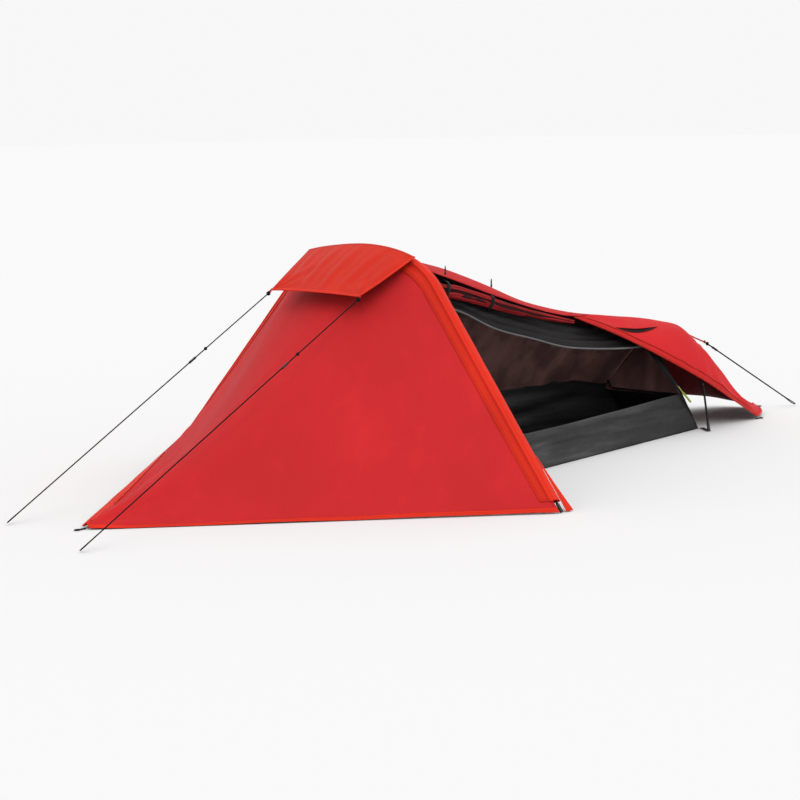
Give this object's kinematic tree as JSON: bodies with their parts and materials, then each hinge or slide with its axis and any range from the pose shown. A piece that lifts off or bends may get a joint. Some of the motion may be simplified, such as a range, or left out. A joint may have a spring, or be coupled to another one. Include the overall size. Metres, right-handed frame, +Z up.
{
  "type": "one-person tent",
  "caption": "Low one-person tent with a tall leaning hoop, a small foot hoop, a red fly with hooded vent, a rolled side door and a dark tub-floored inner.",
  "frame": {"origin": "on the ground under the tent floor, midway between the feet of the tall hoop", "axes": "+X from head to foot, -Y to the door side, +Z up"},
  "size_m": [3.8717, 1.8848, 0.808],
  "materials": {
    "fly_fabric": "coated ripstop nylon, crimson, slight sheen",
    "trim_fabric": "coated nylon, orange red",
    "mesh_fabric": "fine black mosquito mesh",
    "inner_fabric": "coated charcoal nylon",
    "piping": "grey woven piping",
    "webbing": "black woven tape",
    "cord": "black braided cord",
    "pull_cord": "olive green pull tab",
    "pole": "black anodised tube",
    "ferrule": "plain steel sleeve",
    "black_plastic": "moulded black nylon"
  },
  "bodies": {
    "tent": {"fly_head_panel_near": "fly_fabric", "fly_head_panel_far": "fly_fabric", "fly_main_canopy": "fly_fabric", "fly_foot_shoulder_near": "fly_fabric", "fly_tail_near": "fly_fabric", "fly_tail_far": "fly_fabric", "fly_door_roll": "fly_fabric", "fly_vent_hood": "trim_fabric", "main_pole_sleeve": "trim_fabric", "sleeve_patch_near": "trim_fabric", "foot_guy_tape": "trim_fabric", "fly_vent_mesh": "mesh_fabric", "inner_net_far": "mesh_fabric", "inner_net_head": "mesh_fabric", "inner_net_foot": "mesh_fabric", "inner_floor": "inner_fabric", "inner_wall_near": "inner_fabric", "inner_wall_far": "inner_fabric", "inner_wall_head": "inner_fabric", "inner_wall_foot": "inner_fabric", "inner_door_header": "inner_fabric", "inner_foot_side_near": "inner_fabric", "inner_door_piping": "piping", "door_tie_head_strap": "webbing", "door_tie_foot_strap": "webbing", "peg_loop_head": "webbing", "peg_loop_tail": "webbing", "peg_loop_tail_near": "webbing", "peg_loop_tail_far": "webbing", "inner_corner_strap": "webbing", "inner_zip_tape": "webbing", "guyline_head_near": "cord", "guyline_head_far": "cord", "guyline_foot": "cord", "main_pole_near_lower": "pole", "main_pole_near_upper": "pole", "main_pole_far_lower": "pole", "main_pole_far_upper": "pole", "main_pole_crown": "pole", "foot_pole_near": "pole", "foot_pole_far": "pole", "foot_pole_crown": "pole", "main_pole_ferrule_near_lower": "ferrule", "main_pole_ferrule_near_upper": "ferrule", "main_pole_ferrule_far_lower": "ferrule", "main_pole_ferrule_far_upper": "ferrule", "foot_pole_ferrule_near": "ferrule", "foot_pole_ferrule_far": "ferrule", "main_pole_tip_near": "black_plastic", "main_pole_tip_far": "black_plastic", "foot_pole_tip_near": "black_plastic", "foot_pole_tip_far": "black_plastic"},
    "runner_near": {"guy_runner_head_near": "black_plastic"},
    "runner_far": {"guy_runner_head_far": "black_plastic"},
    "runner_foot": {"guy_runner_foot": "black_plastic"},
    "zip_slider": {"inner_zip_slider": "black_plastic"},
    "zip_pull": {"inner_zip_pull": "pull_cord"},
    "toggle_head": {"door_tie_head_toggle": "black_plastic"},
    "toggle_foot": {"door_tie_foot_toggle": "black_plastic"}
  },
  "joints": [
    {"name": "runner_near_slide", "type": "slide", "parent": "tent", "child": "runner_near", "axis": [-0.8809, -0.0441, -0.4713], "range_m": [-0.04, 0.3]},
    {"name": "runner_far_slide", "type": "slide", "parent": "tent", "child": "runner_far", "axis": [-0.8606, 0.0206, -0.5089], "range_m": [-0.04, 0.3]},
    {"name": "runner_foot_slide", "type": "slide", "parent": "tent", "child": "runner_foot", "axis": [0.8551, -0.1442, -0.498], "range_m": [-0.015, 0.2]},
    {"name": "zip_slide", "type": "slide", "parent": "tent", "child": "zip_slider", "axis": [-0.2199, 0.5962, 0.7721], "range_m": [0, 0.13]},
    {"name": "zip_pull_swing", "type": "hinge", "parent": "zip_slider", "child": "zip_pull", "pos_m": [1.53902, -0.22663, 0.18974], "axis": [-0.8707, 0.2371, -0.431], "range_deg": [0, 45]},
    {"name": "toggle_head_tilt", "type": "hinge", "parent": "tent", "child": "toggle_head", "pos_m": [0.3407, -0.1305, 0.6915], "axis": [1, 0, 0], "range_deg": [0, 75]},
    {"name": "toggle_foot_tilt", "type": "hinge", "parent": "tent", "child": "toggle_foot", "pos_m": [0.6088, -0.1005, 0.6285], "axis": [1, 0, 0], "range_deg": [0, 75]}
  ]
}
